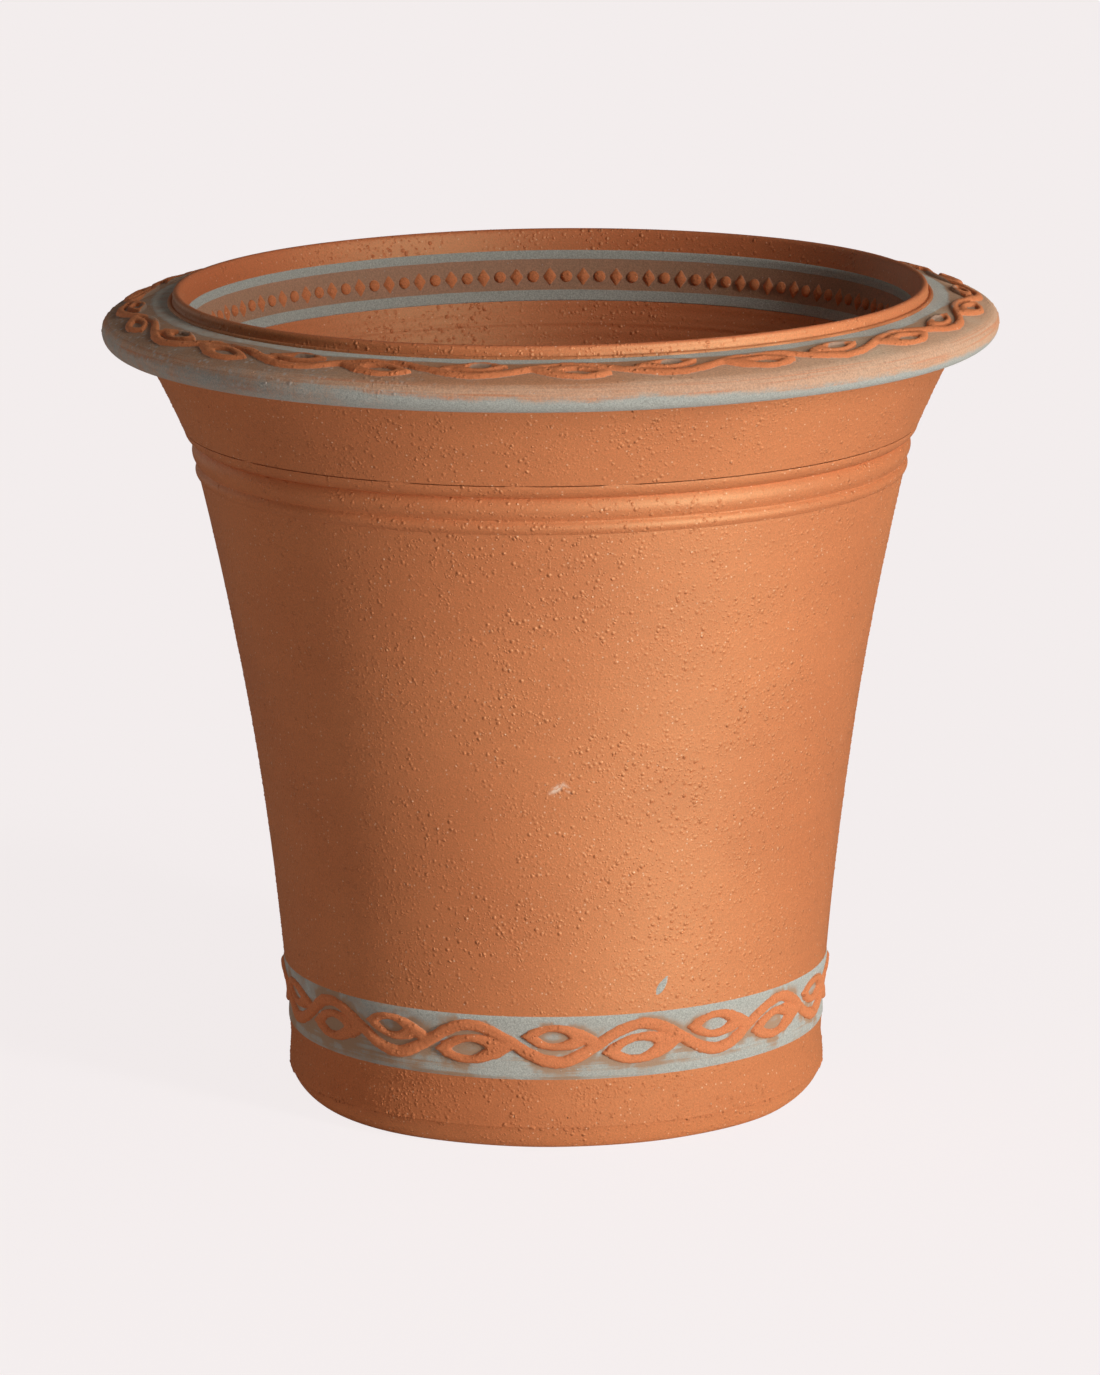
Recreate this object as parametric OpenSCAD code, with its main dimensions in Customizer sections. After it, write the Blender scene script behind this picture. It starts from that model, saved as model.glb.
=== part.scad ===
// Thrown terracotta planter with a rolled rim, blue-grey slip bands and applied vine relief.
// It stands on z = 0 with its axis on Z, and its front is at -Y. Millimetres.

/* [Foot] */
// Width of the flat face that the pot stands on
standing_d = 204; // [198:1:208]
// Width across the foot, above its bevel
foot_d = 218.8; // [217.4:0.2:221]
// Height of the rounded bevel at the foot
bevel_h = 10; // [6:0.5:11]
// How far the bevel is rounded out of a straight chamfer
bevel_bow = 1.2; // [0.5:0.1:1.8]
// Thickness of the floor
floor_t = 14; // [12:0.5:18]
// Width of the drain hole in the floor
drain_d = 30; // [20:1:40]

/* [Wall] */
// Width of the wall at its narrowest, just above the foot
waist_d = 217.2; // [214:0.2:217.2]
// Width of the wall under the mouldings
shoulder_d = 284.4; // [276:0.2:287]
// Height of the wall under the mouldings
shoulder_z = 256.3; // [250:0.1:260]
// Thickness of the wall
wall_t = 12; // [10:0.5:13]
// Share of the flare that the wall's lower curve handle has reached
flare_low = 0.14; // [0.1:0.01:0.25]
// Share of the flare that the wall's upper curve handle has reached
flare_high = 0.46; // [0.38:0.01:0.55]

/* [Mouldings] */
// Height of the lower cordon
lower_cordon_h = 6.2; // [4:0.1:8]
// How far the lower cordon stands out of the wall
lower_cordon_proud = 0.7; // [0.4:0.1:1.2]
// Height of the upper cordon
upper_cordon_h = 8.6; // [7:0.1:10]
// How far the upper cordon stands out of the wall
upper_cordon_proud = 1.3; // [0.8:0.1:1.8]
// Height of the slanted neck between the upper cordon and the seam
neck_h = 4.2; // [3:0.1:6]

/* [Rim] */
// Width across the rolled rim
rim_d = 360; // [356:1:364]
// Height of the pot, to the top of the lip
height = 331; // [330:0.5:333]
// Radius of the rim's rolled edge
nose_r = 6.2; // [5.6:0.1:6.4]
// Fall of the rim's top towards its edge, in degrees
rim_fall = 12; // [10:0.5:13]
// Width of the lip's foot, where the slip begins
lip_d = 307; // [305:0.5:309]
// Width of the mouth at the top of the lip
mouth_d = 297; // [295:0.5:299]

/* [Slip] */
// Thickness of the slip coats
slip_t = 0.4; // [0.3:0.1:0.6]
// Lower edge of the slip band round the foot
foot_band_low = 29.5; // [26:0.5:31]
// Upper edge of the slip band round the foot
foot_band_high = 55.7; // [55:0.1:60]
// How deep the foot's band is pressed into the wall for the vine
band_recess = 1.3; // [0.8:0.1:1.6]
// Lower edge of the slip band inside the mouth
mouth_band_low = 301.4; // [298:0.1:303]
// Upper edge of the slip band inside the mouth
mouth_band_high = 322.3; // [320:0.1:324]

/* [Vine relief] */
// Waves of the vine round the foot
foot_waves = 10; // [8:2:12]
// Waves of the vine round the rim
rim_waves = 14; // [12:2:16]
// Height of the relief over the slip at the foot
foot_relief = 1.4; // [0.8:0.1:2]
// Height of the relief over the slip on the rim
rim_relief = 1.2; // [0.8:0.1:1.6]

/* [Mouth ornament] */
// Lozenges round the inside of the mouth, with a bead between each two
lozenge_count = 64; // [48:2:68]
// Height of the ornament over the slip
mouth_relief = 1.2; // [0.8:0.1:1.6]

/* [Hidden] */
$fn = 96;
clay = "#C8764A";
clay_dark = "#B4633A";
slip = "#8E958F";

// Foot and wall
standing_r = standing_d / 2;
foot_r = foot_d / 2;
drain_r = drain_d / 2;
waist_r = waist_d / 2;
waist_z = 22;
foot_swell_z = 14;
foot_taper = 0.1;
shoulder_r = shoulder_d / 2;
wall_steps = 18;
flare = shoulder_r - waist_r;
wall_handles = [waist_r, waist_r + flare_low * flare, waist_r + flare_high * flare, shoulder_r];
foot_in_r = waist_r - wall_t;
bevel_steps = 5;
band_run = 2.2;
band_z0 = foot_band_low + band_run;
band_z1 = foot_band_high - band_run;

// Mouldings, and the lapped seam where the collar joins the wall
groove_h = 0.3;
core_lean = 1.2;
lower_cordon_z = shoulder_z;
upper_cordon_z = lower_cordon_z + lower_cordon_h + groove_h;
neck_z = upper_cordon_z + upper_cordon_h;
seam_z = neck_z + neck_h + groove_h;
lower_cordon_top = 0.3;
upper_cordon_top = 1.5;
cordon_lift = 0.72;
core_r = shoulder_r + core_lean;
tongue_h = 4;
tongue_t = 4.4;
tongue_out_r = core_r - tongue_t;
tongue_in_r = tongue_out_r - tongue_t;
cordon_steps = 12;

// Collar, from the seam up to the seat that carries the rim and the lip
collar_ledge = 4.8;
collar_out_r = core_r + collar_ledge;
crease_z = 308;
crease_r = 163.4;
collar_bow = 0.4;
collar_steps = 8;
seat_z = 318;
seat_out_r = 161;
mouth_band_low_r = 142;
mouth_band_high_r = 145.9;

// Rolled rim
lip_r = lip_d / 2;
nose_x = rim_d / 2 - nose_r;
nose_z = 315.4;
nose_steps = 14;
under_turn = -90;

// Lip
mouth_r = mouth_d / 2;
lip_bead_w = 1.4;
lip_bead_h = 0.9;
lip_bead_edge_h = 0.4;
lip_groove_h = 0.2;
lip_crown_h = 2.6;
lip_groove_r = lip_r - lip_bead_w;
lip_crown_r = (mouth_r + lip_groove_r) / 2;
lip_steps = 10;

// Vine: sizes on the foot, and the share of them that fits on the narrower rim
foot_swing = 7.3;
foot_stem_w = 4.6;
foot_phase = 18;
foot_vine_z = 44;
rim_squeeze = 0.75;
rim_phase = 2.9;
rim_vine_in = 6.4;
rim_vine_r = nose_x - rim_vine_in;
stem_draft = 0.45;
stem_steps = 12;
leaf_l = 36;
leaf_h = 11.4;
leaf_round_r = 4.2;
leaf_round_at = 9;
leaf_hollow_l = 15;
leaf_hollow_h = 4.6;
leaf_drop = 2.2;
leaf_turn = 3;
leaf_gap = 0.08;
leaf_reach = 26;
leaf_cut = 20;

// Mouth ornament
ornament_z = 311.5;
lozenge_w = 7;
lozenge_h = 9.5;
bead_r = 2.3;
bead_top_r = 1.4;
ornament_gap = 0.004;

// A cubic curve through the first and last of four handles
function curve(p, t) =
    pow(1 - t, 3) * p[0] + 3 * pow(1 - t, 2) * t * p[1] + 3 * (1 - t) * t * t * p[2] + t * t * t * p[3];

// Straight line between a and b
function mix(a, b, t) = a + (b - a) * t;

// Outer radius of the wall at a height between the waist and the shoulder
function wall_r(z) = curve(wall_handles, (z - waist_z) / (shoulder_z - waist_z));

// Outer radius of the plain core that the cordons sit on
function core_at(z) = mix(shoulder_r, core_r, (z - shoulder_z) / (seam_z - shoulder_z));

// Inner radius of the mouth's straight band
function mouth_at(z) =
    mix(mouth_band_low_r, mouth_band_high_r, (z - mouth_band_low) / (mouth_band_high - mouth_band_low));

// Line of the pressed band round the foot, raised by a coat of thickness h; its bottom is one straight cone
function band_line(h) =
    [[wall_r(foot_band_low) + h, foot_band_low + h], [wall_r(band_z0) - band_recess + h, band_z0],
     [wall_r(band_z1) - band_recess + h, band_z1], [wall_r(foot_band_high) + h, foot_band_high - h]];

// Outer radius of the slip on that cone
function foot_band_r(z) =
    slip_t - band_recess + mix(wall_r(band_z0), wall_r(band_z1), (z - band_z0) / (band_z1 - band_z0));

// A curve from a to c, pulled towards b
function bow(a, b, c, t) = (1 - t) * (1 - t) * a + 2 * t * (1 - t) * b + t * t * c;

// Rounded bevel from the standing face up to the foot
function bevel_line() =
    let (chord = norm([foot_r - standing_r, bevel_h]),
         pull = [(foot_r + standing_r) / 2 + 2 * bevel_bow * bevel_h / chord,
                 bevel_h / 2 - 2 * bevel_bow * (foot_r - standing_r) / chord])
    [for (i = [0:bevel_steps]) bow([standing_r, 0], pull, [foot_r, bevel_h], i / bevel_steps)];

// Height of the rim's sloping top, raised by a coat or a relief of thickness h
function rim_top(r, h) = nose_z + (nose_r + h) / cos(rim_fall) - (r - nose_x) * tan(rim_fall);

// Line of the rim from the lip's foot, over the rolled edge, to the crease with the collar, raised by h
function rim_line(h) = concat(
    [[lip_r, rim_top(lip_r, h)]],
    [for (i = [0:nose_steps])
        let (a = mix(90 - rim_fall, under_turn, i / nose_steps))
        [nose_x + (nose_r + h) * cos(a), nose_z + (nose_r + h) * sin(a)]],
    [[crease_r, crease_z - h]]);

function reversed(list) = [for (i = [len(list) - 1:-1:0]) list[i]];

// Bulge of a cordon on the core from height z0 over h, fullest near its upper edge, which ends out by top
function bulge(z0, h, proud, top) =
    let (foot = [core_at(z0), z0],
         head = [core_at(z0 + h) + top, z0 + h],
         pull = mix(foot, head, cordon_lift) + [2 * proud, 0])
    [for (i = [0:cordon_steps]) bow(foot, pull, head, i / cordon_steps)];

// Where a point of the vine lies: azimuth a from the front, place v across the band, height h over it
foot_place = function (a, v, h)
    let (r = foot_band_r(foot_vine_z + v) + h)
    [r * sin(a), -r * cos(a), foot_vine_z + v];
rim_place = function (a, v, h)
    let (r = rim_vine_r - v)
    [r * sin(a), -r * cos(a), rim_top(r, 0) + h / cos(rim_fall)];

// Floor with the drain hole and a ledge that the wall stands on
module base_disc() {
    color(clay_dark)
        rotate_extrude()
            polygon(concat([[drain_r, 0]], bevel_line(),
                           [[foot_in_r, bevel_h], [foot_in_r, floor_t], [drain_r, floor_t]]));
}

// Thrown wall from the floor's ledge to the seam, with the tongue of the seam on top
module lower_wall() {
    outer = concat(
        [[foot_r, bevel_h], [foot_r - foot_taper, foot_swell_z], [waist_r, waist_z]],
        band_line(0),
        [for (i = [1:wall_steps])
            let (z = mix(foot_band_high, shoulder_z, i / wall_steps))
            [wall_r(z), z]],
        [[core_r, seam_z], [tongue_out_r, seam_z], [tongue_out_r, seam_z + tongue_h],
         [tongue_in_r, seam_z + tongue_h]]);
    inner = concat(
        [for (i = [wall_steps:-1:0])
            let (z = mix(waist_z, shoulder_z, i / wall_steps))
            [wall_r(z) - wall_t, z]],
        [[foot_in_r, bevel_h]]);
    color(clay)
        rotate_extrude()
            polygon(concat(outer, inner));
}

// Rounded ring of clay on the wall's core
module lower_cordon() {
    cordon_top = lower_cordon_z + lower_cordon_h;
    color(clay)
        rotate_extrude()
            polygon(concat(bulge(lower_cordon_z, lower_cordon_h, lower_cordon_proud, lower_cordon_top),
                           [[core_at(cordon_top), cordon_top]]));
}

// Rounded ring with a slanted neck that leads out to the seam
module upper_cordon() {
    neck_top = neck_z + neck_h;
    color(clay)
        rotate_extrude()
            polygon(concat(bulge(upper_cordon_z, upper_cordon_h, upper_cordon_proud, upper_cordon_top),
                           [[collar_out_r - groove_h, neck_top], [core_at(neck_top), neck_top]]));
}

// Flared section above the seam, with the groove for the tongue below and the seat for rim and lip on top
module collar_wall() {
    outer = [for (i = [0:collar_steps])
        let (t = i / collar_steps)
        [mix(collar_out_r, crease_r, t) - 4 * collar_bow * t * (1 - t), mix(seam_z, crease_z, t)]];
    color(clay)
        rotate_extrude()
            polygon(concat(outer,
                [[seat_out_r, seat_z], [mouth_at(seat_z), seat_z], [mouth_band_low_r, mouth_band_low],
                 [tongue_in_r, seam_z + tongue_h], [tongue_out_r, seam_z + tongue_h],
                 [tongue_out_r, seam_z]]));
}

// Rolled rim that wraps the collar's upper edge, under its slip
module rim_roll() {
    color(clay)
        rotate_extrude()
            polygon(concat([[lip_r, seat_z]], rim_line(-slip_t),
                           [[crease_r, crease_z], [seat_out_r, seat_z]]));
}

// Raised lip round the mouth, with a fine bead at its foot
module mouth_lip() {
    foot_z = rim_top(lip_r, 0);
    crown_w = (lip_groove_r - mouth_r) / 2;
    crown = [for (i = [0:lip_steps])
        let (a = 180 * i / lip_steps)
        [lip_crown_r + crown_w * cos(a), height - lip_crown_h + lip_crown_h * sin(a)]];
    color(clay)
        rotate_extrude()
            polygon(concat(
                [[mouth_at(seat_z), seat_z], [lip_r, seat_z], [lip_r, foot_z + lip_bead_edge_h],
                 [lip_r - lip_bead_w / 2, foot_z + lip_bead_h], [lip_groove_r, foot_z + lip_groove_h]],
                crown, [[mouth_band_high_r, mouth_band_high]]));
}

// Slip coat in the foot's pressed band, feathered at both edges
module foot_slip() {
    color(slip)
        rotate_extrude()
            polygon(concat(band_line(0), reversed(band_line(slip_t))));
}

// Slip coat over the whole rolled rim
module rim_slip() {
    color(slip)
        rotate_extrude()
            polygon(concat(rim_line(0), [[crease_r, crease_z]], reversed(rim_line(-slip_t))));
}

// Slip coat inside the mouth, over the joint of collar and lip
module mouth_slip() {
    color(slip)
        rotate_extrude()
            polygon([[mouth_band_low_r, mouth_band_low], [mouth_band_high_r, mouth_band_high],
                     [mouth_at(mouth_band_high - slip_t) - slip_t, mouth_band_high - slip_t],
                     [mouth_at(mouth_band_low + slip_t) - slip_t, mouth_band_low + slip_t]]);
}

// Waving stem laid round the pot as one closed ring of tapered section
module vine_stem(place, radius, waves, phase, swing, width, relief) {
    count = waves * stem_steps;
    sides = [[-1, 0], [-stem_draft, relief], [stem_draft, relief], [1, 0]];
    points = [for (i = [0:count - 1])
        let (a = 360 * i / count,
             v = swing * cos(waves * (a - phase)),
             lean = atan(-swing * waves * sin(waves * (a - phase)) / radius))
        for (s = sides)
            let (off = s[0] * width / 2)
            place(a - off * sin(lean) / radius * 180 / PI, v + off * cos(lean), s[1])];
    n = len(sides);
    faces = [for (i = [0:count - 1], k = [0:n - 1])
        let (j = (i + 1) % count, m = (k + 1) % n)
        each [[n * i + k, n * i + m, n * j + m], [n * i + k, n * j + m, n * j + k]]];
    polyhedron(points, faces);
}

module lens(l, h) {
    bow = (l * l / 4 + h * h / 4) / h;
    intersection() {
        translate([0, h / 2 - bow]) circle(bow);
        translate([0, bow - h / 2]) circle(bow);
    }
}

// Flat outline of the stem near a crest, widened by the hairline gap, in a leaf's own frame
module stem_outline(wave_l, swing, width) {
    half = width / 2 + leaf_gap;
    xs = [for (i = [-stem_steps:stem_steps]) leaf_reach * i / stem_steps];
    function side(s) = [for (x = xs)
        let (lean = atan(-swing * 360 / wave_l * PI / 180 * sin(360 * x / wave_l)))
        [x - s * half * sin(lean), swing * cos(360 * x / wave_l) + s * half * cos(lean)]];
    polygon(concat(side(1), reversed(side(-1))));
}

// Almond with one blunt end, on the left
module blunt_lens(l, h, round_r) {
    translate([-leaf_round_at, 0]) circle(round_r);
    intersection() {
        lens(l, h);
        translate([-leaf_round_at, -h]) square([l, 2 * h]);
    }
}

// Flat outline of one leaf that hangs under a crest of the stem; squeeze narrows it across the band
module leaf_outline(wave_l, swing, width, squeeze) {
    difference() {
        translate([0, -leaf_drop * squeeze])
            rotate(-leaf_turn)
                difference() {
                    blunt_lens(leaf_l, leaf_h * squeeze, leaf_round_r * squeeze);
                    lens(leaf_hollow_l, leaf_hollow_h * squeeze);
                }
        stem_outline(wave_l, swing, width);
    }
}

module foot_vine_stem() {
    color(clay)
        vine_stem(foot_place, foot_band_r(foot_vine_z), foot_waves, foot_phase, foot_swing, foot_stem_w,
                  foot_relief);
}

// Leaves under each crest and over each trough of the foot's stem
module foot_vine_leaves() {
    wave_l = 2 * PI * foot_band_r(foot_vine_z) / foot_waves;
    low = foot_vine_z - foot_swing - foot_stem_w / 2;
    high = foot_vine_z + foot_swing + foot_stem_w / 2;
    color(clay)
        intersection() {
            rotate_extrude()
                polygon([[foot_band_r(low), low], [foot_band_r(low) + foot_relief, low],
                         [foot_band_r(high) + foot_relief, high], [foot_band_r(high), high]]);
            for (i = [0:2 * foot_waves - 1])
                rotate(foot_phase + 180 * i / foot_waves)
                    translate([0, leaf_cut / 2 - foot_band_r(low), foot_vine_z])
                        rotate([90, 0, 0])
                            linear_extrude(leaf_cut)
                                mirror([0, i % 2])
                                    leaf_outline(wave_l, foot_swing, foot_stem_w, 1);
        }
}

module rim_vine_stem() {
    color(clay)
        vine_stem(rim_place, rim_vine_r, rim_waves, rim_phase, foot_swing * rim_squeeze,
                  foot_stem_w * rim_squeeze, rim_relief);
}

// Leaves of the rim, which run the other way round from those of the foot
module rim_vine_leaves() {
    wave_l = 2 * PI * rim_vine_r / rim_waves;
    swing = foot_swing * rim_squeeze;
    width = foot_stem_w * rim_squeeze;
    near = rim_vine_r - swing - width / 2;
    far = rim_vine_r + swing + width / 2;
    raise = rim_relief / cos(rim_fall);
    color(clay)
        intersection() {
            rotate_extrude()
                polygon([[near, rim_top(near, 0)], [far, rim_top(far, 0)],
                         [far, rim_top(far, 0) + raise], [near, rim_top(near, 0) + raise]]);
            for (i = [0:2 * rim_waves - 1])
                rotate(rim_phase + 180 * i / rim_waves)
                    translate([0, -rim_vine_r, crease_z])
                        linear_extrude(height - crease_z)
                            mirror([1, 0])
                                mirror([0, i % 2])
                                    leaf_outline(wave_l, swing, width, rim_squeeze);
        }
}

// Places a flat-backed ornament on the mouth's slip, facing the axis, at an azimuth
module on_mouth(a) {
    lean = atan((mouth_band_high_r - mouth_band_low_r) / (mouth_band_high - mouth_band_low));
    rotate(a)
        translate([0, slip_t + ornament_gap - mouth_at(ornament_z), ornament_z])
            rotate([-90 + lean, 0, 0])
                children();
}

module mouth_lozenges() {
    half_w = lozenge_w / 2;
    half_h = lozenge_h / 2;
    color(clay)
        for (i = [0:lozenge_count - 1])
            on_mouth(360 * i / lozenge_count)
                linear_extrude(mouth_relief)
                    polygon([[half_w, 0], [0, half_h], [-half_w, 0], [0, -half_h]]);
}

module mouth_beads() {
    color(clay)
        for (i = [0:lozenge_count - 1])
            on_mouth(360 * (i + 0.5) / lozenge_count)
                cylinder(h = mouth_relief, r1 = bead_r, r2 = bead_top_r);
}

base_disc();
lower_wall();
lower_cordon();
upper_cordon();
collar_wall();
rim_roll();
mouth_lip();
foot_slip();
rim_slip();
mouth_slip();
foot_vine_stem();
foot_vine_leaves();
rim_vine_stem();
rim_vine_leaves();
mouth_lozenges();
mouth_beads();
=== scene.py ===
import random
from math import atan2, ceil, cos, dist, exp, hypot, pi, radians, sin, sqrt, tan

import bmesh
import bpy
from mathutils import Matrix, Vector, kdtree, noise


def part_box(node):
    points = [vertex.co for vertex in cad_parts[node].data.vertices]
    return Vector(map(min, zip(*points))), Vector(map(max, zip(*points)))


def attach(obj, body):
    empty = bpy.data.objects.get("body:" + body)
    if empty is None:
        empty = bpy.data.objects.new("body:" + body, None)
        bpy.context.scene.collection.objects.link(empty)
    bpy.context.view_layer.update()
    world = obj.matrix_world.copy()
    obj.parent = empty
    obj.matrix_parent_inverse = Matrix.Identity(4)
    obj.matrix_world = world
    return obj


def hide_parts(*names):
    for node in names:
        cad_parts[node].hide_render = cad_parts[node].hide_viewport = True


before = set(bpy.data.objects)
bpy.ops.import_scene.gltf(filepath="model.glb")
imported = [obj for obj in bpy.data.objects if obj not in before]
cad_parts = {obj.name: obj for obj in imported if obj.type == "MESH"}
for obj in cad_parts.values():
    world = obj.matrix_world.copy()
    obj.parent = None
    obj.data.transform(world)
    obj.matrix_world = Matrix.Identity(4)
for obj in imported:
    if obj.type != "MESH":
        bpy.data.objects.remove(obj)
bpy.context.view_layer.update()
scene = bpy.context.scene
mm = 0.001
sameSpot = 1e-6
print("frame loaded,", len(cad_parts), "nodes")

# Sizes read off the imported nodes, in millimetres

def low(node):
    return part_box(node)[0].z / mm

def high(node):
    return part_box(node)[1].z / mm

def reach(node):
    return max(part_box(node)[1].x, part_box(node)[1].y) / mm

pot = {
    "height": high("mouth_lip"),
    "footR": reach("base_disc"),
    "bevelZ": low("lower_wall"),
    "floorZ": high("base_disc"),
    "shoulderZ": low("lower_cordon"),
    "cordonZ": low("upper_cordon"),
    "neckZ": high("upper_cordon"),
    "seamZ": low("collar_wall"),
    "tongueZ": high("lower_wall"),
    "seatZ": high("collar_wall"),
    "creaseR": reach("collar_wall"),
    "lipR": reach("mouth_lip"),
    "rimR": reach("rim_slip"),
    "bandLow": low("foot_slip"),
    "bandHigh": high("foot_slip"),
    "mouthLow": low("mouth_slip"),
    "mouthHigh": high("mouth_slip"),
    "vineZ": (low("foot_vine_stem") + high("foot_vine_stem")) / 2,
}

# Line helpers for outlines, which are lists of (radius, height)

def mix(a, b, t):
    return a + (b - a) * t

def arc(r, z, size, start, stop, steps):
    turns = [radians(mix(start, stop, i / steps)) for i in range(steps + 1)]
    return [(r + size * cos(t), z + size * sin(t)) for t in turns]

def bow(p, pull, q, steps):
    line = []
    for i in range(steps + 1):
        t = i / steps
        line.append(tuple((1 - t) ** 2 * a + 2 * t * (1 - t) * b + t * t * c
                          for a, b, c in zip(p, pull, q)))
    return line

def fill(line, gap):
    # adds points so that no stretch is longer than the gap
    full = [line[0]]
    for p, q in zip(line, line[1:]):
        count = max(1, ceil(dist(p, q) / gap))
        full += [(mix(p[0], q[0], i / count), mix(p[1], q[1], i / count)) for i in range(1, count + 1)]
    return full

def ease(x, start, stop):
    t = min(1, max(0, (x - start) / (stop - start)))
    return t * t * (3 - 2 * t)

# The thrown shape that all pieces share

thrown = {
    "waistZ": 22.0, "waistR": 108.6, "swellZ": 14.0, "standR": 102.0,
    "shoulderR": 142.2, "coreR": 143.4, "flareLow": 0.14, "flareHigh": 0.46,
    "wallT": 12.0, "drainR": 15.0, "recess": 1.3, "slipT": 0.4,
    "mouthLowR": 142.0, "mouthHighR": 145.9, "tongueOutR": 139.0, "tongueInR": 134.6,
    "noseR": 6.2, "noseZ": 315.4, "rimFall": radians(12), "seatR": 161.0, "creaseZ": 308.0,
    "topR": 176.1, "rimFull": 1.0, "noseFrom": 68.0,
}

def wallR(z):
    s = thrown
    flare = s["shoulderR"] - s["waistR"]
    grips = (s["waistR"], s["waistR"] + s["flareLow"] * flare,
             s["waistR"] + s["flareHigh"] * flare, s["shoulderR"])
    t = (z - s["waistZ"]) / (pot["shoulderZ"] - s["waistZ"])
    share = ((1 - t) ** 3, 3 * (1 - t) ** 2 * t, 3 * (1 - t) * t * t, t ** 3)
    return sum(a * b for a, b in zip(grips, share))

def bandDip(z):
    # the roller pressed the foot's band in, deepest at its middle
    t = (2 * z - pot["bandLow"] - pot["bandHigh"]) / (pot["bandHigh"] - pot["bandLow"])
    return thrown["recess"] * cos(pi / 2 * t) ** 2 if abs(t) < 1 else 0.0

def footCoatR(z):
    return wallR(z) - bandDip(z) + thrown["slipT"]

def coreR(z):
    t = (z - pot["shoulderZ"]) / (pot["seamZ"] - pot["shoulderZ"])
    return mix(thrown["shoulderR"], thrown["coreR"], t)

def mouthR(z):
    span = pot["mouthHigh"] - pot["mouthLow"]
    return mix(thrown["mouthLowR"], thrown["mouthHighR"], (z - pot["mouthLow"]) / span)

def rimTop(r, rise=0.0):
    # falls outwards from the lip, fuller in the middle, and runs on over the nose
    s = thrown
    nose = pot["rimR"] - s["noseR"]
    start = s["noseZ"] + s["noseR"] / cos(s["rimFall"]) + (nose - pot["lipR"]) * tan(s["rimFall"])
    over = min(max(r, s["topR"]), nose + s["noseR"]) - nose
    stop = s["noseZ"] + sqrt((s["noseR"] + rise) ** 2 - over ** 2)
    if r >= s["topR"]:
        return stop
    t = (r - pot["lipR"]) / (s["topR"] - pot["lipR"])
    return mix(start + rise, stop, t) + 4 * s["rimFull"] * t * (1 - t)

def rimLine(rise):
    nose = pot["rimR"] - thrown["noseR"]
    top = [(r, rimTop(r, rise)) for r in (mix(pot["lipR"], thrown["topR"], i / 16) for i in range(16))]
    over = arc(nose, thrown["noseZ"], thrown["noseR"] + rise, thrown["noseFrom"], -90, 20)
    return top + over + [(pot["creaseR"], thrown["creaseZ"] - rise)]

hand = {"lean": 0.17, "oval": 0.3, "sway": 0.25, "rings": 0.02, "ringGap": 5.5, "lift": 0.2,
        "footSway": 0.9}

def settle(co):
    # what the thrower's hands left: a rim that leans, a slightly oval body and throwing rings
    r = hypot(co.x, co.y)
    if r < sameSpot:
        return co
    up = co.z / mm / pot["height"]
    c, s = co.x / r, co.y / r
    out = hand["oval"] * (c * c - s * s) * up
    out += hand["sway"] * noise.noise((c * 1.3, s * 1.3, up * 4)) * min(1, up * 8)
    out += hand["rings"] * noise.noise((c * 0.9, s * 0.9, co.z / mm / hand["ringGap"]))
    out += hand["footSway"] * noise.noise((c * 2.2, s * 2.2, 9)) * max(0, 1 - up * 24)
    rise = hand["lift"] * noise.noise((c * 1.6 + 7, s * 1.6, 3)) * up ** 3
    rise += co.x / mm * tan(radians(hand["lean"])) * up ** 3
    return Vector((co.x + c * out * mm, co.y + s * out * mm, co.z + rise * mm))

# Making pieces

def vertsOf(geom):
    return [g for g in geom if isinstance(g, bmesh.types.BMVert)]

def weld(bm):
    bmesh.ops.remove_doubles(bm, verts=bm.verts, dist=sameSpot)

def faceOut(bm):
    bmesh.ops.recalc_face_normals(bm, faces=bm.faces)

def turnOnWheel(line, steps):
    # turns a closed outline round an eighth, then doubles that three times
    bm = bmesh.new()
    verts = [bm.verts.new((r * mm, 0, z * mm)) for r, z in line]
    edges = [bm.edges.new(pair) for pair in zip(verts, verts[1:] + verts[:1])]
    bmesh.ops.spin(bm, geom=verts + edges, cent=(0, 0, 0), axis=(0, 0, 1), angle=pi / 4,
                   steps=steps // 8)
    for turn in (pi / 4, pi / 2, pi):
        made = bmesh.ops.duplicate(bm, geom=bm.verts[:] + bm.edges[:] + bm.faces[:])["geom"]
        bmesh.ops.rotate(bm, verts=vertsOf(made), cent=(0, 0, 0), matrix=Matrix.Rotation(turn, 3, "Z"))
    weld(bm)
    faceOut(bm)
    return bm

def newObject(bm, name, material):
    mesh = bpy.data.meshes.new(name)
    bm.to_mesh(mesh)
    bm.free()
    mesh.materials.append(material)
    made = bpy.data.objects.new(name, mesh)
    scene.collection.objects.link(made)
    return made

def finishPiece(bm, name, look, nodes=(), crease=40):
    material, slot = look
    for v in bm.verts:
        v.co = settle(v.co)
    piece = newObject(bm, name, material)
    piece.data.shade_smooth()
    piece.data.set_sharp_from_angle(angle=radians(crease))
    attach(piece, "root")
    if nodes:
        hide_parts(*nodes)
    print("piece", name, len(piece.data.polygons), "faces")

def mark(bm, name, measure):
    # keeps a measure on each point, for the colours
    layer = bm.verts.layers.float.new(name)
    for v in bm.verts:
        v[layer] = measure(v.co)

def fromAxisOf(co):
    return hypot(co.x, co.y) / mm

def makeTree(points):
    tree = kdtree.KDTree(len(points))
    for i, point in enumerate(points):
        tree.insert(point, i)
    tree.balance()
    return tree

# Node helpers

def setInputs(tree, node, inputs):
    for key, value in inputs.items():
        if isinstance(value, bpy.types.NodeSocket):
            tree.links.new(value, node.inputs[key])
        else:
            node.inputs[key].default_value = value

def addNode(tree, kind, inputs=None, **settings):
    node = tree.nodes.new("ShaderNode" + kind)
    for key, value in settings.items():
        setattr(node, key, value)
    setInputs(tree, node, inputs or {})
    return node

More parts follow.
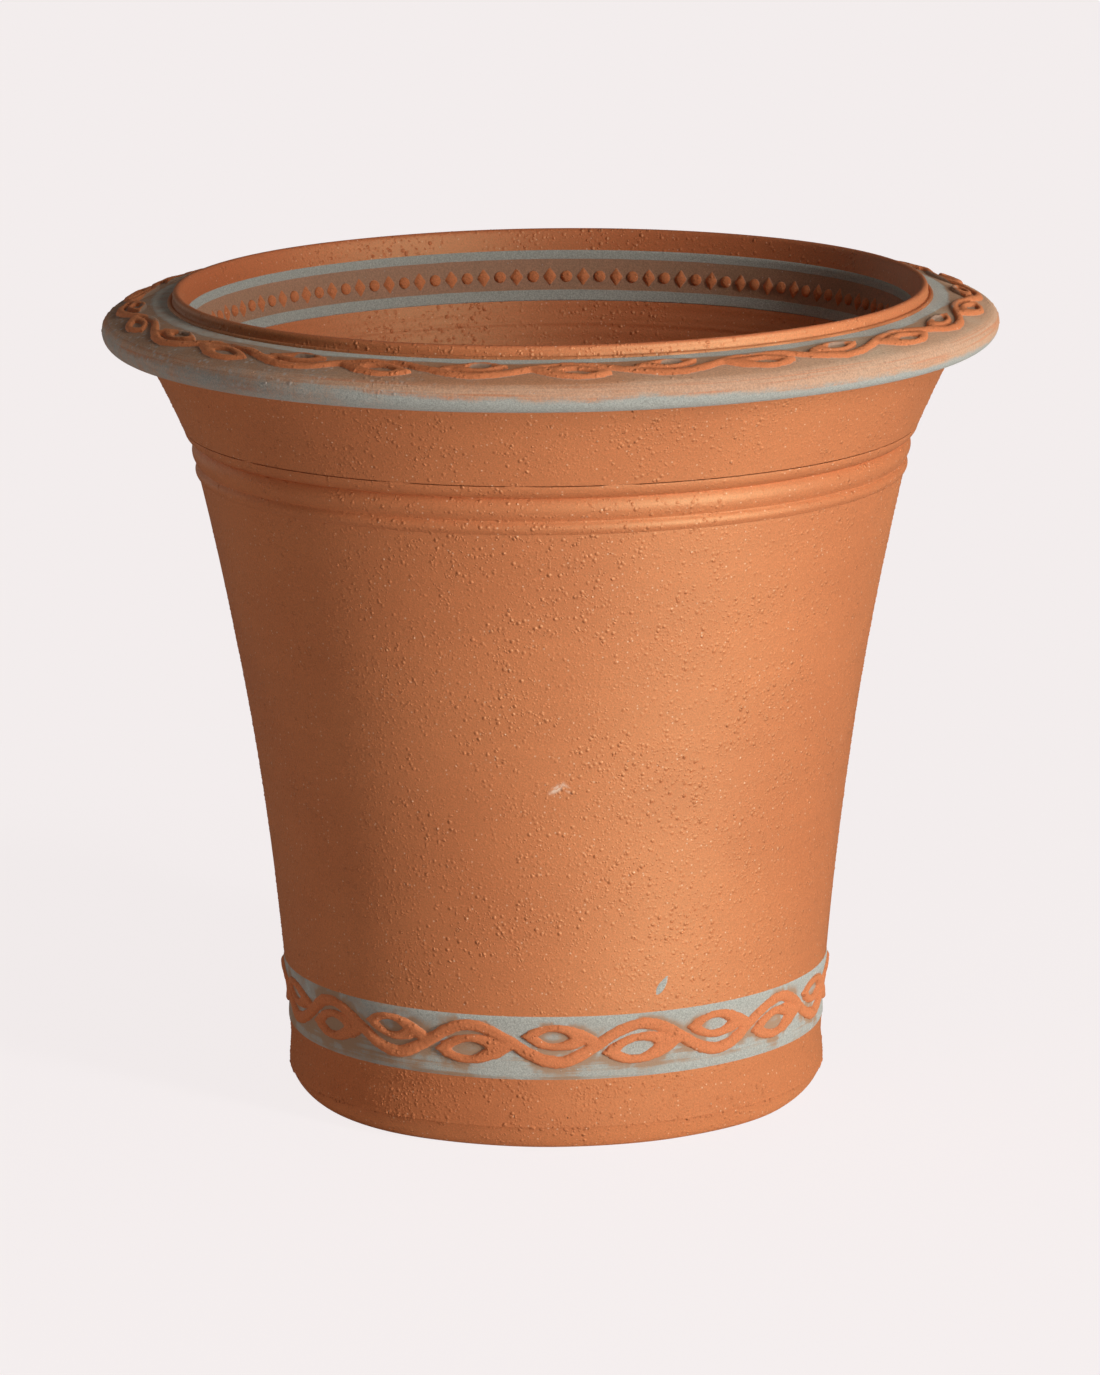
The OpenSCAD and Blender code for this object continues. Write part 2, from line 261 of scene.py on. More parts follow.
def math2(tree, operation, a, b=0.0, clamp=False):
    return addNode(tree, "Math", {0: a, 1: b}, operation=operation, use_clamp=clamp).outputs[0]

def times(tree, a, b):
    return math2(tree, "MULTIPLY", a, b)

def ramp(tree, value, start, stop, outLow=0.0, outHigh=1.0):
    inputs = {"Value": value, "From Min": start, "From Max": stop, "To Min": outLow, "To Max": outHigh}
    return addNode(tree, "MapRange", inputs, interpolation_type="SMOOTHSTEP").outputs["Result"]

def noiseAt(tree, spot, scale, detail, rough=0.5):
    inputs = {"Vector": spot, "Scale": scale, "Detail": detail, "Roughness": rough}
    return addNode(tree, "TexNoise", inputs).outputs[0]

def swayBy(tree, value, wide):
    # turns a noise into a shift to either side
    return times(tree, math2(tree, "SUBTRACT", value, 0.5), wide)

def lengthOf(tree, vector):
    return addNode(tree, "VectorMath", {0: vector}, operation="LENGTH").outputs["Value"]

def fromAxis(tree, part):
    flat = addNode(tree, "CombineXYZ", {"X": part.outputs["X"], "Y": part.outputs["Y"]}).outputs[0]
    return lengthOf(tree, flat)

def blend(tree, factor, a, b, mode="MIX"):
    return addNode(tree, "Mix", {0: factor, 6: a, 7: b}, data_type="RGBA", blend_type=mode).outputs[2]

def shadeBy(tree, value, colour):
    tint = addNode(tree, "CombineColor", {0: value, 1: value, 2: value}).outputs[0]
    return blend(tree, 1.0, colour, tint, "MULTIPLY")

def dress(tree, shader, colour, height, depth):
    bump = addNode(tree, "Bump", {"Height": height, "Distance": depth, "Strength": 1.0})
    setInputs(tree, shader, {"Base Color": colour, "Normal": bump.outputs["Normal"]})

def readMark(tree, name):
    return addNode(tree, "Attribute", attribute_name=name).outputs["Fac"]

def newGroup(name, ins, outs):
    tree = bpy.data.node_groups.new(name, "ShaderNodeTree")
    for label, kind in ins:
        tree.interface.new_socket(label, in_out="INPUT", socket_type="NodeSocket" + kind)
    for label in outs:
        tree.interface.new_socket(label, in_out="OUTPUT", socket_type="NodeSocketFloat")
    return tree, tree.nodes.new("NodeGroupInput"), tree.nodes.new("NodeGroupOutput")

def useGroup(tree, group, inputs):
    return addNode(tree, "Group", inputs, node_tree=group)

def newMaterial(name, finish):
    material = bpy.data.materials.new(name)
    material.use_nodes = True
    tree = material.node_tree
    shader = tree.nodes["Principled BSDF"]
    setInputs(tree, shader, finish)
    return material, tree, shader, addNode(tree, "TexCoord").outputs["Object"]

# Sand, grit and pits in the clay: noises as scale, detail, roughness, lumps as scale, height

sandLook = {"mottle": (11.0, 4.0), "flat": (5.0, 5.0, 190.0), "streak": (1.0, 3.0),
            "grain": (1500.0, 3.0, 0.7), "grainHigh": 0.1, "speck": 520.0, "speckSize": 0.25,
            "pit": 240.0, "pitSize": 0.1, "pitDeep": 0.6, "crowd": (38.0, 2.0),
            "lumps": ((420.0, 0.64), (760.0, 0.33))}

def pickedSpots(tree, spot, scale, share, size):
    # round spots in a share of scattered cells, with soft edges
    cells = addNode(tree, "TexVoronoi", {"Vector": spot, "Scale": scale})
    chance = addNode(tree, "SeparateColor", {"Color": cells.outputs["Color"]}).outputs[0]
    picked = math2(tree, "LESS_THAN", chance, share)
    return times(tree, ramp(tree, cells.outputs["Distance"], size, size * 0.3), picked)

def makeSandGroup():
    s = sandLook
    tree, given, out = newGroup(
        "sandAndGrit", [("Vector", "Vector"), ("Speck Share", "Float"), ("Pit Share", "Float")],
        ["Mottle", "Streak", "Grain", "Speck", "Pit", "Height"])
    spot = given.outputs["Vector"]
    flat = addNode(tree, "Mapping", {"Vector": spot, "Scale": s["flat"]}).outputs[0]
    grain = noiseAt(tree, spot, *s["grain"])
    pit = pickedSpots(tree, spot, s["pit"], given.outputs["Pit Share"], s["pitSize"])
    height = times(tree, grain, s["grainHigh"])
    crowded = ramp(tree, noiseAt(tree, spot, *s["crowd"]), 0.32, 0.62, 0.3, 1.0)
    for scale, tall in s["lumps"]:
        # domes that run out before the edge of their cell
        cells = addNode(tree, "TexVoronoi", {"Vector": spot, "Scale": scale})
        edge = addNode(tree, "TexVoronoi", {"Vector": spot, "Scale": scale}, feature="DISTANCE_TO_EDGE")
        chance = addNode(tree, "SeparateColor", {"Color": cells.outputs["Color"]}).outputs[1]
        dome = times(tree, ramp(tree, cells.outputs["Distance"], 0.46, 0.04),
                     ramp(tree, edge.outputs["Distance"], 0.0, 0.14))
        lump = times(tree, dome, ramp(tree, chance, 0.25, 0.95, 0.0, tall))
        height = math2(tree, "ADD", height, times(tree, lump, crowded))
    setInputs(tree, out, {
        "Mottle": noiseAt(tree, spot, *s["mottle"]),
        "Streak": noiseAt(tree, flat, *s["streak"]),
        "Grain": grain,
        "Speck": pickedSpots(tree, spot, s["speck"], given.outputs["Speck Share"], s["speckSize"]),
        "Pit": pit,
        "Height": math2(tree, "SUBTRACT", height, times(tree, pit, s["pitDeep"]))})
    return tree

sandGroup = makeSandGroup()

clay = {"deep": (0.590, 0.180, 0.066, 1), "warm": (0.650, 0.210, 0.078, 1), "speck": (0.86, 0.56, 0.36, 1),
        "pit": (0.17, 0.05, 0.025, 1), "bump": 0.0008}
clayFinish = {"Roughness": 0.58, "Diffuse Roughness": 0.08, "IOR": 1.62, "Specular IOR Level": 1.0,
              "Specular Tint": (1.0, 0.9, 0.5, 1)}
reliefFinish = {"Roughness": 0.8, "Diffuse Roughness": 0.4, "Specular IOR Level": 0.45,
                "Specular Tint": (1.0, 0.93, 0.6, 1)}
slipFinish = {"Roughness": 0.8, "Diffuse Roughness": 0.5, "Specular IOR Level": 0.5}

def clayColour(tree, sand, deep, warm):
    colour = blend(tree, ramp(tree, sand.outputs["Mottle"], 0.3, 0.7), deep, warm)
    shade = ramp(tree, sand.outputs["Streak"], 0.3, 0.7, 0.985, 1.015)
    grain = ramp(tree, sand.outputs["Grain"], 0.25, 0.75, 0.84, 1.16)
    colour = shadeBy(tree, times(tree, shade, grain), colour)
    colour = blend(tree, times(tree, sand.outputs["Speck"], 0.85), colour, clay["speck"])
    return blend(tree, times(tree, sand.outputs["Pit"], 0.85), colour, clay["pit"])

# a pale scuff low on the wall's front, in short strokes: place, turn, size and strength
scuff = {"pale": (0.88, 0.66, 0.50, 1),
         "strokes": [((0.0010, -0.1252, 0.1508), -0.62, (0.0052, 0.02, 0.0021), 0.9),
                     ((0.0047, -0.1250, 0.1519), 0.55, (0.0025, 0.02, 0.0009), 0.55),
                     ((0.0055, -0.1250, 0.1494), 0.6, (0.0025, 0.02, 0.0007), 0.4)]}
# the clay is darker and redder towards the bottom and rougher on the foot; its bevel is painted paler, a
# painted light for light bounced up from the floor
foot = {"span": (0.012, 0.075), "dark": 0.90, "green": 1.9, "blue": 2.6, "rough": 0.8,
        "paintedBounceTo": 0.0125, "paintedBounce": (1.5, 1.74, 1.84, 1)}
# painted shade: inside the mouth the clay is darkened towards red, for the shade and the warm light bounced
# round the mouth
inside = {"flare": 0.25, "edge": (0.0695, 0.0672), "tint": (1.0, 0.82, 0.79, 1)}

def addScuff(tree, spot, colour):
    for at, turn, size, share in scuff["strokes"]:
        inputs = {"Vector": spot, "Location": at, "Rotation": (0, turn, 0), "Scale": size}
        local = addNode(tree, "Mapping", inputs, vector_type="TEXTURE").outputs[0]
        thin = ramp(tree, noiseAt(tree, local, 2.5, 4.0), 0.3, 0.6, 0.0, share)
        mark = times(tree, ramp(tree, lengthOf(tree, local), 1.0, 0.2), thin)
        colour = blend(tree, mark, colour, scuff["pale"])
    return colour

def makeTerracotta():
    material, tree, shader, spot = newMaterial("terracotta", clayFinish)
    sand = useGroup(tree, sandGroup, {"Vector": spot, "Speck Share": 0.2, "Pit Share": 0.003})
    colour = clayColour(tree, sand, clay["deep"], clay["warm"])
    part = addNode(tree, "SeparateXYZ", {"Vector": spot})
    up = part.outputs["Z"]
    # painted shade inside the mouth, darkening the clay towards red
    deep = math2(tree, "SUBTRACT", fromAxis(tree, part), times(tree, up, inside["flare"]))
    paintedInsideShade = ramp(tree, deep, *inside["edge"])
    colour = blend(tree, paintedInsideShade, colour, inside["tint"], "MULTIPLY")
    # the clay is darker and redder towards the bottom
    lowDarkening = ramp(tree, up, *foot["span"], foot["dark"], 1.0)
    green, blue = (math2(tree, "POWER", lowDarkening, foot[key]) for key in ("green", "blue"))
    tint = addNode(tree, "CombineColor", {0: lowDarkening, 1: green, 2: blue}).outputs[0]
    colour = blend(tree, 1.0, colour, tint, "MULTIPLY")
    # painted light: the bevel is lightened towards the floor, for light bounced up from it
    colour = blend(tree, ramp(tree, up, foot["paintedBounceTo"], 0.0), colour, foot["paintedBounce"], "MULTIPLY")
    colour = addScuff(tree, spot, colour)
    rough = ramp(tree, up, *foot["span"], foot["rough"], clayFinish["Roughness"])
    tree.links.new(rough, shader.inputs["Roughness"])
    dress(tree, shader, colour, sand.outputs["Height"], clay["bump"])
    return material

# Slip: a speckled blue-grey coat that lets clay through where it was wiped

slip = {"pale": (0.540, 0.543, 0.476, 1), "dark": (0.358, 0.356, 0.309, 1), "fleck": (0.64, 0.60, 0.53, 1),
        "speckle": (1700.0, 2.0, 0.6), "cloud": (110.0, 6.0, 0.7), "loose": 0.9, "broken": 0.7,
        "flecks": (620.0, 0.1, 0.22), "worn": 0.25, "bump": 0.0002}

def makeSlipGroup():
    tree, given, out = newGroup("slipCoat", [("Vector", "Vector"), ("Wiped", "Float")],
                                ["Clay Shows", "Speckle", "Fleck", "Height"])
    spot = given.outputs["Vector"]
    speckle = noiseAt(tree, spot, *slip["speckle"])
    loose = swayBy(tree, noiseAt(tree, spot, *slip["cloud"]), slip["loose"])
    broken = swayBy(tree, speckle, slip["broken"])
    wiped = math2(tree, "ADD", given.outputs["Wiped"], math2(tree, "ADD", loose, broken))
    shows = ramp(tree, wiped, 0.25, 0.85)
    fleck = pickedSpots(tree, spot, *slip["flecks"])
    height = math2(tree, "SUBTRACT", speckle, times(tree, shows, slip["worn"]))
    setInputs(tree, out, {"Clay Shows": shows, "Speckle": speckle, "Fleck": fleck,
                          "Height": math2(tree, "ADD", height, fleck)})
    return tree

slipGroup = makeSlipGroup()

def makeSlip(name, zones):
    # zones gives how far the slip was wiped off, the colour that shows there and a painted light that
    # brightens or darkens the slip
    material, tree, shader, spot = newMaterial(name, slipFinish)
    wiped, under, paintedLight = zones(tree, spot)
    coat = useGroup(tree, slipGroup, {"Vector": spot, "Wiped": wiped})
    colour = blend(tree, ramp(tree, coat.outputs["Speckle"], 0.3, 0.7), slip["dark"], slip["pale"])
    # painted light on the slip, where the zones give it
    if paintedLight:
        colour = shadeBy(tree, paintedLight, colour)
    colour = blend(tree, coat.outputs["Clay Shows"], colour, under)
    colour = blend(tree, times(tree, coat.outputs["Fleck"], 0.5), colour, slip["fleck"])
    dress(tree, shader, colour, coat.outputs["Height"], slip["bump"])
    return material

def ringStreaks(tree, spot, fine, along=14.0):
    # streaks that run round the pot, on flat and on upright faces alike
    part = addNode(tree, "SeparateXYZ", {"Vector": spot})
    across = math2(tree, "SUBTRACT", fromAxis(tree, part), part.outputs["Z"])
    x, y = (times(tree, part.outputs[axis], along) for axis in "XY")
    turned = addNode(tree, "CombineXYZ", {"X": x, "Y": y, "Z": times(tree, across, fine)}).outputs[0]
    return noiseAt(tree, turned, 1.0, 5.0, 0.65)

def grainTint(tree, spot, colour):
    # breaks a wiped colour up into sand
    grain = noiseAt(tree, spot, 1300.0, 3.0, 0.7)
    return shadeBy(tree, ramp(tree, grain, 0.25, 0.75, 0.8, 1.2), colour)

footZones = {"patch": (70.0, 3.0), "left": (-0.01, -0.09, 0.0, 0.42), "fine": 420.0,
             "streak": (0.4, 0.7, 0.1, 0.6), "streakZ": (0.049, 0.037), "tan": (0.42, 0.265, 0.160, 1)}

def footZonesOf(tree, spot):
    # the sponge that cleaned the vine took some slip beside it, here and there
    z = footZones
    patch = ramp(tree, noiseAt(tree, spot, *z["patch"]), 0.42, 0.58)
    wiped = times(tree, readMark(tree, "near"), patch)
    part = addNode(tree, "SeparateXYZ", {"Vector": spot})
    left = ramp(tree, part.outputs["X"], *z["left"])
    streak = ramp(tree, ringStreaks(tree, spot, z["fine"]), *z["streak"])
    streak = times(tree, streak, ramp(tree, part.outputs["Z"], *z["streakZ"]))
    return math2(tree, "ADD", wiped, math2(tree, "ADD", left, streak)), z["tan"], None

# lengths across the rim are in millimetres from the lip, over the edge and back under to the crease
rimZones = {"fine": 620.0, "cloud": (24.0, 4.0), "sway": 4.0, "drift": 7.0, "right": (0.0, 0.12),
            "left": (0.0, -0.13), "lip": (4.6, 7.0), "paintedLight": (1.3, 0.93), "slipUnder": (33.5, 27.0),
            "more": 2.9, "thin": 0.5, "kept": 0.95, "keptLeft": 0.22, "edge": (22.5, 26.5),
            "limes": (380.0, 0.55, 0.44), "limeFrom": (15.0, 19.0), "limeShare": 0.8,
            "tan": (0.530, 0.238, 0.112, 1), "pale": (0.540, 0.372, 0.243, 1),
            "pink": (0.600, 0.362, 0.225, 1), "dull": (0.430, 0.243, 0.142, 1),
            "clay": (0.620, 0.255, 0.125, 1), "lime": (0.56, 0.48, 0.41, 1)}

def rimUnder(tree, spot, at, streak, cloud, right, left):
    # what shows where the slip was wiped: paler on the right, a painted light where the lamps fall, and
    # paler in clouds; duller by the vine and on the left, streaked at the edge
    z = rimZones
    # painted light: the wiped clay is paler on the right, where the lamps fall, and in clouds
    pale = math2(tree, "ADD", times(tree, right, 0.6), ramp(tree, cloud, 0.42, 0.7, 0.0, 0.6), True)
    under = blend(tree, pale, z["tan"], z["pale"])
    under = blend(tree, times(tree, left, 0.85), under, z["dull"])
    under = blend(tree, ramp(tree, readMark(tree, "near"), 0.5, 0.95, 0.0, 0.55), under, z["dull"])
    edge = ramp(tree, at, *z["edge"])
    under = blend(tree, times(tree, edge, ramp(tree, streak, 0.35, 0.6, 0.0, 0.9)), under, z["pink"])
    under = blend(tree, times(tree, edge, ramp(tree, streak, 0.5, 0.36, 0.0, 0.75)), under, z["clay"])
    lime = times(tree, pickedSpots(tree, spot, *z["limes"]), times(tree, left, z["limeShare"]))
    lime = times(tree, lime, ramp(tree, at, *z["limeFrom"]))
    return grainTint(tree, spot, blend(tree, lime, under, z["lime"]))

def rimZonesOf(tree, spot):
    z = rimZones
    streak = ringStreaks(tree, spot, z["fine"])
    cloud = noiseAt(tree, spot, *z["cloud"])
    side = addNode(tree, "SeparateXYZ", {"Vector": spot}).outputs["X"]
    right, left = ramp(tree, side, *z["right"]), ramp(tree, side, *z["left"])
    shift = math2(tree, "ADD", swayBy(tree, streak, z["sway"]), swayBy(tree, cloud, z["drift"]))
    at = math2(tree, "ADD", readMark(tree, "across"), shift)
    past = math2(tree, "MAXIMUM", ramp(tree, at, *z["lip"]), readMark(tree, "near"))
    below = math2(tree, "SUBTRACT", at, times(tree, right, z["more"]))
    kept = math2(tree, "SUBTRACT", z["kept"], times(tree, left, z["keptLeft"]))
    wiped = times(tree, times(tree, past, kept), ramp(tree, below, *z["slipUnder"]))
    wiped = math2(tree, "MAXIMUM", wiped, times(tree, left, z["thin"]))
    # painted light: the slip by the lip is brightened where the lip shades it; further out the slip is a
    # little darker
    paintedLight = ramp(tree, at, *z["lip"], *z["paintedLight"])
    return wiped, rimUnder(tree, spot, at, streak, cloud, right, left), paintedLight

# millimetres above the band's lower edge
mouthZones = {"low": (4.1, 4.9), "high": (17.7, 17.0), "cloud": (45.0, 4.0), "wipe": 0.95,
              "tan": (0.47, 0.25, 0.145, 1)}

def mouthZonesOf(tree, spot):
    z = mouthZones
    across = readMark(tree, "across")
    wiped = times(tree, ramp(tree, across, *z["low"]), ramp(tree, across, *z["high"]))
    cloud = ramp(tree, noiseAt(tree, spot, *z["cloud"]), 0.35, 0.7)
    under = blend(tree, cloud, z["tan"], rimZones["dull"])
    return times(tree, wiped, z["wipe"]), grainTint(tree, spot, under), None

# Relief: wiped clean on top, with slip left in the corners

relief = {"deep": (0.605, 0.188, 0.070, 1), "warm": (0.700, 0.240, 0.095, 1),
          "left": (0.39, 0.295, 0.22, 1), "blots": (170.0, 5.0, 0.7)}

def makeRelief():
    material, tree, shader, spot = newMaterial("reliefClay", reliefFinish)
    sand = useGroup(tree, sandGroup, {"Vector": spot, "Speck Share": 0.05, "Pit Share": 0.03})
    colour = clayColour(tree, sand, relief["deep"], relief["warm"])
    blots = times(tree, noiseAt(tree, spot, *relief["blots"]), 0.9)
    left = math2(tree, "SUBTRACT", blots, readMark(tree, "rise"))
    colour = blend(tree, ramp(tree, left, 0.1, 0.6, 0.0, 0.85), colour, relief["left"])
    dress(tree, shader, colour, sand.outputs["Height"], clay["bump"])
    return material

terracotta = makeTerracotta(), "terracotta"
footSlip = makeSlip("footSlip", footZonesOf), "blue_grey_slip"
rimSlip = makeSlip("rimSlip", rimZonesOf), "wiped_slip"
mouthSlip = makeSlip("mouthSlip", mouthZonesOf), "blue_grey_slip"
reliefClay = makeRelief(), "relief_clay"
print("materials made")

# Floor of the pot with its rounded bevel and drain hole

baseShape = {"bow": 1.2, "inset": 0.4, "edge": 1.4, "gap": 4.0, "steps": 288}

def bevelLine():
    r0, r1, z1 = thrown["standR"], pot["footR"] - baseShape["inset"], pot["bevelZ"]
    chord = hypot(r1 - r0, z1)
    out = 2 * baseShape["bow"] / chord
    pull = ((r0 + r1) / 2 + out * z1, z1 / 2 - out * (r1 - r0))
    return bow((r0, 0), pull, (r1, z1), 10)

def makeBase():
    edge = baseShape["edge"]
    inner = thrown["waistR"] - thrown["wallT"]
    line = arc(thrown["drainR"] + edge, edge, edge, 180, 270, 4) + bevelLine()
    line += [(inner, pot["bevelZ"]), (inner, pot["floorZ"])]
    line += arc(thrown["drainR"] + edge, pot["floorZ"] - edge, edge, 90, 180, 4)
    bm = turnOnWheel(fill(line, baseShape["gap"]), baseShape["steps"])
    finishPiece(bm, "floorDisc", terracotta, ["base_disc"])

# Wall

wallShape = {"outerGap": 2.2, "innerGap": 4.5, "rows": 110, "innerRows": 40, "steps": 384}

def wallOuter():
    line = [(pot["footR"], pot["bevelZ"])]
    line += bow((pot["footR"], pot["bevelZ"] + 1), (pot["footR"] - 0.1, thrown["swellZ"] + 1),
                (thrown["waistR"], thrown["waistZ"]), 6)
    rows = wallShape["rows"]
    for i in range(1, rows + 1):
        z = mix(thrown["waistZ"], pot["shoulderZ"], i / rows)
        line.append((wallR(z) - bandDip(z), z))
    return line

def makeWall():
    s, rows = thrown, wallShape["innerRows"]
    top = [(s["coreR"], pot["seamZ"]), (s["tongueOutR"], pot["seamZ"]),
           (s["tongueOutR"], pot["tongueZ"]), (s["tongueInR"], pot["tongueZ"])]
    heights = [mix(pot["shoulderZ"], s["waistZ"], i / rows) for i in range(rows + 1)]
    inner = [(wallR(z) - s["wallT"], z) for z in heights]
    inner.append((s["waistR"] - s["wallT"], pot["bevelZ"]))
    line = fill(wallOuter(), wallShape["outerGap"]) + fill(top + inner, wallShape["innerGap"])
    bm = turnOnWheel(line, wallShape["steps"])
    finishPiece(bm, "potWall", terracotta, ["lower_wall"])

# Cordons under the seam, with gaps that are pressed shut here and there

cordonShape = {"lowProud": 1.25, "lowTop": -0.1, "highProud": 1.9, "highTop": 0.15, "lift": 0.54,
               "neckH": 5.3, "step": 0.1, "sunk": 0.4, "seam": 0.12, "gap": 0.45, "sag": 0.6, "groove": 1.6,
               "lowShut": 0.15, "highShut": -0.22, "fill": 0.8, "steps": 448}

def cordonBulge(z0, z1, proud, top):
    foot, head = (coreR(z0) + cordonShape["step"], z0), (coreR(z1) + top, z1)
    t = cordonShape["lift"]
    pull = (mix(foot[0], head[0], t) + 2 * proud, mix(z0, z1, t))
    return bow(foot, pull, head, 14)

def pressShut(bm, z, share):
    # lifts the top edge of a ring over part of its length, so that the line above it breaks
    for v in bm.verts:
        if v.co.z / mm > z - 0.05:
            a = atan2(v.co.y, v.co.x)
            n = noise.noise((cos(a) * 9, sin(a) * 9, z)) + 0.5 * noise.noise((a * 30, z, 2))
            v.co.z += mm * cordonShape["gap"] * min(1, max(0, (n + share) * 3))

def closeCordon(line, foot, top, shut, name, node):
    line += [(coreR(z) - cordonShape["sunk"], z) for z in (top, foot)]
    bm = turnOnWheel(fill(line, cordonShape["fill"]), cordonShape["steps"])
    pressShut(bm, top, shut)
    finishPiece(bm, name, terracotta, [node])

def makeCordons():
    # both lie a little lower than they were cut, where the sponge drew them down
    c = cordonShape
    lowFoot, lowTop = pot["shoulderZ"] - c["sag"], high("lower_cordon") - c["groove"] - c["seam"]
    line = cordonBulge(lowFoot, lowTop, c["lowProud"], c["lowTop"])
    closeCordon(line, lowFoot, lowTop, c["lowShut"], "lowerCordon", "lower_cordon")
    neckTop = pot["neckZ"] - c["seam"]
    out = reach("upper_cordon")
    head = neckTop - c["neckH"]
    highFoot = pot["cordonZ"] - c["groove"]
    line = cordonBulge(highFoot, head, c["highProud"], c["highTop"])
    line += bow(line[-1], (mix(line[-1][0], out, 0.9), mix(head, neckTop, 0.3)), (out, neckTop), 8)[1:]
    closeCordon(line, highFoot, neckTop, c["highShut"], "upperCordon", "upper_cordon")

# Collar

collarShape = {"out": 4.8, "bow": 0.4, "rows": 24, "gap": 1.5, "innerRows": 36, "ridgeZ": 292.3,
               "ridge": 0.5, "ridgeHalf": 0.8, "rings": 0.16, "ringTurn": 1.05,
               "mouthGap": 2.5, "steps": 384}

def collarOuter():
    r0 = thrown["coreR"] + collarShape["out"]
    line = []
    for i in range(collarShape["rows"] + 1):
        t = i / collarShape["rows"]
        line.append((mix(r0, pot["creaseR"], t) - 4 * collarShape["bow"] * t * (1 - t),
                     mix(pot["seamZ"], thrown["creaseZ"], t)))
    return line

def collarInner():
    # from the mouth's band down to the seam, with throwing rings and one sharper ridge
    c = collarShape
    line = []
    rows = c["innerRows"]
    for i in range(rows + 1):
        z = mix(pot["mouthLow"], pot["tongueZ"], i / rows)
        r = mix(thrown["mouthLowR"], thrown["tongueInR"], i / rows)
        bump = c["ridge"] * exp(-((z - c["ridgeZ"]) / c["ridgeHalf"]) ** 2)
        bump += c["rings"] * sin(z * c["ringTurn"])
        line.append((r - bump * ease(i, 0, 3) * ease(rows - i, 0, 3), z))
    return line

def makeCollar():
    line = fill(collarOuter(), collarShape["gap"])
    line += [(thrown["seatR"], pot["seatZ"])]
    mouth = [(mouthR(pot["seatZ"]), pot["seatZ"]), (thrown["mouthLowR"], pot["mouthLow"])]
    line += fill(mouth, collarShape["mouthGap"])[:-1] + collarInner()
    line += [(thrown["tongueOutR"], pot["tongueZ"]), (thrown["tongueOutR"], pot["seamZ"])]
    bm = turnOnWheel(line, collarShape["steps"])
    finishPiece(bm, "collarWall", terracotta, ["collar_wall"])

# Rolled rim and its coat of slip

rimShape = {"gap": 1.3, "innerGap": 3.0, "steps": 448}

def rimOutside():
    # the coat's outer line from the lip to the crease, with the way along it at each point
    line = fill(rimLine(0), rimShape["gap"])
    along = [0.0]
    for p, q in zip(line, line[1:]):
        along.append(along[-1] + dist(p, q))
    return line, along, makeTree([(r, z, 0) for r, z in line])

rimPath, rimAlong, rimTree = rimOutside()

def rimAcross(r, z):
    return rimAlong[rimTree.find((r, z, 0))[1]]

def rimSpread(start, stop):
    return [p for p, s in zip(rimPath, rimAlong) if start <= s <= stop][::-1]

def makeRim():
    body = [(pot["lipR"], pot["seatZ"])] + rimLine(-thrown["slipT"])
    body += [(pot["creaseR"], thrown["creaseZ"]), (thrown["seatR"], pot["seatZ"])]
    bm = turnOnWheel(fill(body, rimShape["innerGap"]), rimShape["steps"] // 2)
    finishPiece(bm, "rimRoll", terracotta, ["rim_roll"])
    back = fill(rimLine(-thrown["slipT"])[::-1], rimShape["innerGap"])
    bm = turnOnWheel(rimPath + back, rimShape["steps"])
    mark(bm, "across", lambda co: rimAcross(fromAxisOf(co), co.z / mm))
    markNear(bm, rimVine, rimPlace, rimVine["ringR"])
    finishPiece(bm, "rimCoat", rimSlip, ["rim_slip"])

# Lip

# each curve of the lip is three points, as (in from the lip's edge, up from the rim or down from the top)
lipShape = {"beadR": 0.9, "beadUp": 0.15, "side": ((1.7, 0.5), (2.3, 1.6), (2.1, 1.9)),
            "brow": ((2.1, 1.6), (2.3, 0), (3.6, 0)), "edge": ((3.8, 0), (5.0, 0.1), (5.5, 1.9)),
            "gap": 1.6, "steps": 384}

def lipOuter():
    s = lipShape
    r, top = pot["lipR"], pot["height"]
    z = rimTop(r)
    line = [(r, z)] + arc(r - s["beadR"], z + s["beadUp"], s["beadR"], 20, 150, 6)
    start, pull, stop = s["side"]
    line += bow((r - start[0], z + start[1]), (r - pull[0], z + pull[1]), (r - stop[0], top - stop[1]), 5)
    for curve in (s["brow"], s["edge"]):
        line += bow(*[(r - a, top - b) for a, b in curve], 4)
    return line

def makeLip():
    line = [(mouthR(pot["seatZ"]), pot["seatZ"]), (pot["lipR"], pot["seatZ"])] + lipOuter()
    line += [(thrown["mouthHighR"], pot["mouthHigh"])]
    bm = turnOnWheel(fill(line, lipShape["gap"]), lipShape["steps"])
    finishPiece(bm, "mouthLip", terracotta, ["mouth_lip"])

# Slip band inside the mouth

mouthCoat = {"gap": 1.2, "backGap": 5.0, "steps": 384}

def makeMouthCoat():
    t = thrown["slipT"]
    front = [(mouthR(z) - t, z) for z in (pot["mouthLow"] + t, pot["mouthHigh"] - t)]
    line = [(thrown["mouthLowR"], pot["mouthLow"])] + front + [(thrown["mouthHighR"], pot["mouthHigh"])]
    back = fill([line[-1], line[0]], mouthCoat["backGap"])[1:-1]
    bm = turnOnWheel(fill(line, mouthCoat["gap"]) + back, mouthCoat["steps"])
    mark(bm, "across", lambda co: co.z / mm - pot["mouthLow"])
    finishPiece(bm, "mouthCoat", mouthSlip, ["mouth_slip"])

# Vine: a waving stem with almond leaves, raised out of a sheet that follows the band

footVine = {"waves": 10, "phase": 18.0, "swing": 7.3, "stem": 2.45, "slim": 1.0, "squeeze": 1.0, "turn": 1,
            "relief": 1.4, "grid": 0.5, "half": 10.8, "plump": 1.0, "long": 1.0, "coat": 0.0}
